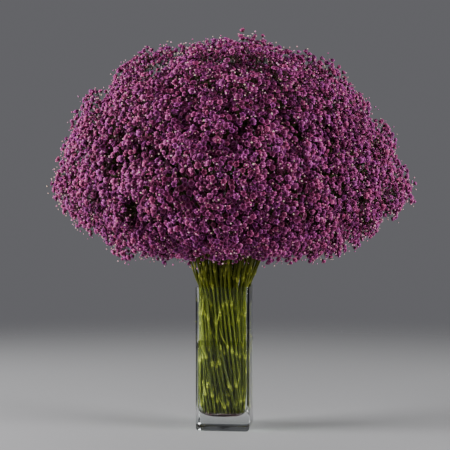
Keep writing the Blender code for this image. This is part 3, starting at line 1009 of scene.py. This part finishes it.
def star(count, rim, radius, height, floor, base, base_mark, openness, twist):
    """One whorl as a closed star: its rim, a point in its middle and a point under it."""
    share, reach, drop, mark = (np.array(column) for column in zip(*rim))
    size = draw.uniform(*PETAL_SIZES, (count, 1))
    sway, rise = draw.normal(0, PETAL_STRAY, (2, count, 1))
    turn = ((np.arange(count)[:, None] + share + twist) / count * 2 * np.pi + sway).ravel()
    out = (reach * radius * size * openness).ravel()
    level = (height * size * (2 - openness) + drop * (height - floor) + rise).ravel()
    points = np.stack([out * np.cos(turn), out * np.sin(turn), level], axis=-1)
    points = np.concatenate([points, [[0, 0, floor], [0, 0, base]]])
    marks = np.concatenate([np.tile(mark, count), [HEART_MARK, base_mark]])
    return points, marks, fans(len(out))


def rosette(whorls, openness):
    """Points, marks and faces of a floret of radius 1 that faces up: one star in another."""
    stars = [star(*whorl, openness, 0.5 * number) for number, whorl in enumerate(whorls)]
    starts = np.cumsum([0] + [len(points) for points, _, _ in stars[:-1]])
    points, marks = (np.concatenate(column) for column in list(zip(*stars))[:2])
    return points, marks, np.concatenate([faces + start for (_, _, faces), start in zip(stars, starts)])


def closed_bud():
    """Points, marks and faces of one bud of radius 1 that faces up: two cones on one ring."""
    turn = np.arange(BUD_SIDES) / BUD_SIDES * 2 * np.pi
    ring = np.stack([np.cos(turn), np.sin(turn), np.full(BUD_SIDES, BUD_SHOULDER)], axis=-1)
    points = np.concatenate([ring, [[0, 0, BUD_LENGTH], [0, 0, -BUD_LENGTH]]])
    return points, np.concatenate([np.ones(BUD_SIDES + 1), [-1.0]]), fans(BUD_SIDES)


def stand(shape, centres, ways, sizes):
    """Copies of a shape: each turned to face its way with a random spin, and moved to its centre."""
    side = unit(np.cross(ways, draw.normal(0, 1, ways.shape)))
    turn = np.stack([side, np.cross(ways, side), ways], axis=1)
    return centres[:, None] + np.einsum("pk,nkx->npx", shape, turn) * sizes[:, None, None]


petals = Finish("dyed_petals", Specular_IOR_Level=0.25)
tip = petals.mark("tip")
tone = petals.mark("tone")
is_pearl = petals.mark("bud")
fleck = petals.speckle(FLECK_SCALE)
rim = petals.blend(tone, PALE_RIM, PINK_RIM)
flesh = petals.blend(tone, PURPLE_FLESH, RED_FLESH)
# Painted highlight: the petals lighten from their flesh to their rims, as edges that catch the light.
dyed = petals.blend(petals.slope(tip, *RIM_MARKS, 0.0, 1.0, "SMOOTHSTEP"), flesh, rim)
# Painted shade: each floret darkens towards its heart, as shade in its cup.
dyed = petals.blend(petals.slope(tip, *HEART_MARKS, 1.0, 0.0) * HEART_SHARE, dyed, PAINTED_HEART_SHADE)
dyed = petals.blend(fleck * FLECK_SHARE, dyed, FLECK_DYE)
dyed = petals.blend(is_pearl, dyed, petals.blend(tone, PINK_PEARL, CREAM_PEARL))
# Painted shade: florets deep in the head darken with their depth, and some darken at random as a duller
# tone.
dyed = petals.blend(petals.mark("deep"), dyed, PAINTED_DEEP_SHADE_AND_DULL_TONE)
dyed = petals.blend(petals.slope(tip, *CUP_MARKS, 1.0, 0.0), dyed, CUP_GREEN)
petals.feed({"Base Color": dyed, "Roughness": PETAL_ROUGHNESS - is_pearl * PEARL_GLOSS})
petals.bump(fleck, strength=0.2, distance=0.0002)

shapes = [rosette(FULL_FLORET, openness) for openness in FULL_OPENNESS]
shapes += [rosette(PLAIN_FLORET, openness) for openness in PLAIN_OPENNESS]
shapes.append(closed_bud())
florets, buds = len(floret), len(bloom) - len(floret)
full_shape = draw.integers(0, len(FULL_OPENNESS), florets)
plain_shape = draw.integers(len(FULL_OPENNESS), len(shapes) - 1, florets)
floret_shape = np.where(is_outer[bloom_cluster[:florets]], full_shape, plain_shape)
bloom_shape = np.concatenate([floret_shape, np.full(buds, len(shapes) - 1)])
floret_size = FLORET_RADIUS * draw.uniform(*FLORET_SIZES, florets)
floret_tone = np.clip(draw.normal(*FLORET_TONES, florets), 0, 1)
floret_dull = FLORET_DULL * draw.random(florets) ** 2
bloom_size = np.concatenate([floret_size, draw.uniform(*BUD_RADIUS, buds)])
bloom_pale = np.concatenate([np.zeros(florets), draw.random(buds) ** BUD_PALE_POWER])
bloom_tone = np.concatenate([floret_tone, draw.random(buds)])
# Each bloom's painted shade by depth in the head, plus a random duller tone on the florets.
bloom_deep = np.interp(depth, SHADE_DEPTH, (0.0, DEEP_SHADE))[bloom_cluster]
bloom_deep[:florets] += floret_dull


for spray in range(SPRAYS):
    pile = Pile("tip", "tone", "bud", "deep")
    for kind, (shape, tips, faces) in enumerate(shapes):
        own = np.flatnonzero((bloom_spray == spray) & (bloom_shape == kind))
        pile.add(
            stand(shape, bloom[own], bloom_way[own], bloom_size[own]),
            copied(faces, len(own), len(shape)),
            tip=np.tile(tips, len(own)),
            tone=np.repeat(bloom_tone[own], len(shape)),
            bud=np.repeat(bloom_pale[own], len(shape)),
            deep=np.repeat(bloom_deep[own], len(shape)),
        )
    pile.piece(f"blooms_{spray + 1:02d}", petals, f"florets_{spray + 1:02d}")


# A plain pale floor, which fades into the air behind it, and plain soft studio light: a large
# panel from each side and a weak one from behind. The air lights the bunch less than it shows.
FLOOR_SIZE = 14.0
FLOOR_CORNERS = 96
FLOOR_FADE = (0.8, 2.8)
PALE_GREY = (0.42, 0.42, 0.43, 1.0)
GRAIN_GREY = (0.38, 0.38, 0.39, 1.0)
AIR = (0.13, 0.13, 0.14, 1.0)
AIR_LIGHT = 0.32
GRAIN_SCALE = 3.0
GRAIN_SHARE = 0.2
PANEL_SIZE = 1.3
PANEL_AIM = np.array([0.0, 0.0, 0.42])
PANELS = {
    "panel_left": ((-2.4, -0.7, 1.1), 125),
    "panel_right": ((2.4, -0.7, 1.0), 80),
    "panel_behind": ((0.3, 2.4, 2.2), 6),
}

bpy.ops.mesh.primitive_circle_add(vertices=FLOOR_CORNERS, radius=FLOOR_SIZE / 2, fill_type="NGON")
ground = bpy.context.object
ground.name = "studio_floor"
pale = Finish("pale_floor", Roughness=0.75, Specular_IOR_Level=0.2)
far = pale.node("ShaderNodeVectorMath", {"operation": "LENGTH"}, pale.place())
grain = pale.speckle(GRAIN_SCALE) * GRAIN_SHARE
pale.feed({"Base Color": pale.blend(grain, PALE_GREY, GRAIN_GREY)})
pale.feed({"Alpha": pale.slope(far, *FLOOR_FADE, 1.0, 0.0, "SMOOTHSTEP")})
ground.data.materials.append(pale.material)

world = bpy.data.worlds.new("studio_air")
world.use_nodes = True
air = world.node_tree.nodes["Background"]
air.inputs["Color"].default_value = AIR
ray = world.node_tree.nodes.new("ShaderNodeLightPath")
dimmer = world.node_tree.nodes.new("ShaderNodeMapRange")
dimmer.inputs["To Min"].default_value = 1.0
dimmer.inputs["To Max"].default_value = AIR_LIGHT
world.node_tree.links.new(ray.outputs["Diffuse Depth"], dimmer.inputs["Value"])
world.node_tree.links.new(dimmer.outputs["Result"], air.inputs["Strength"])
bpy.context.scene.world = world

for name, (place, power) in PANELS.items():
    panel = bpy.data.lights.new(name, "AREA")
    panel.size = PANEL_SIZE
    panel.energy = power
    made = bpy.data.objects.new(name, panel)
    made.location = place
    x, y, z = PANEL_AIM - place
    pitch = math.atan2(z, math.hypot(x, y)) + math.pi / 2
    yaw = math.atan2(y, x) - math.pi / 2
    made.rotation_euler = (pitch, 0, yaw)
    bpy.context.scene.collection.objects.link(made)


# The camera stands level with the lower half of the head, a little to the right of the vase's
# front, so that the vase shows a strip of its right side.
CAMERA_DISTANCE = 2.1
CAMERA_HEIGHT = 0.383
CAMERA_TURN = math.radians(6.3)
CAMERA_VIEW = math.radians(22.96)

lens = bpy.data.cameras.new("camera")
lens.sensor_width = 36.0
lens.lens = lens.sensor_width / 2 / math.tan(CAMERA_VIEW / 2)
camera = bpy.data.objects.new("camera", lens)
camera.location = (
    CAMERA_DISTANCE * math.sin(CAMERA_TURN),
    -CAMERA_DISTANCE * math.cos(CAMERA_TURN),
    CAMERA_HEIGHT,
)
camera.rotation_euler = (math.pi / 2, 0, CAMERA_TURN)
bpy.context.scene.collection.objects.link(camera)
bpy.context.scene.camera = camera
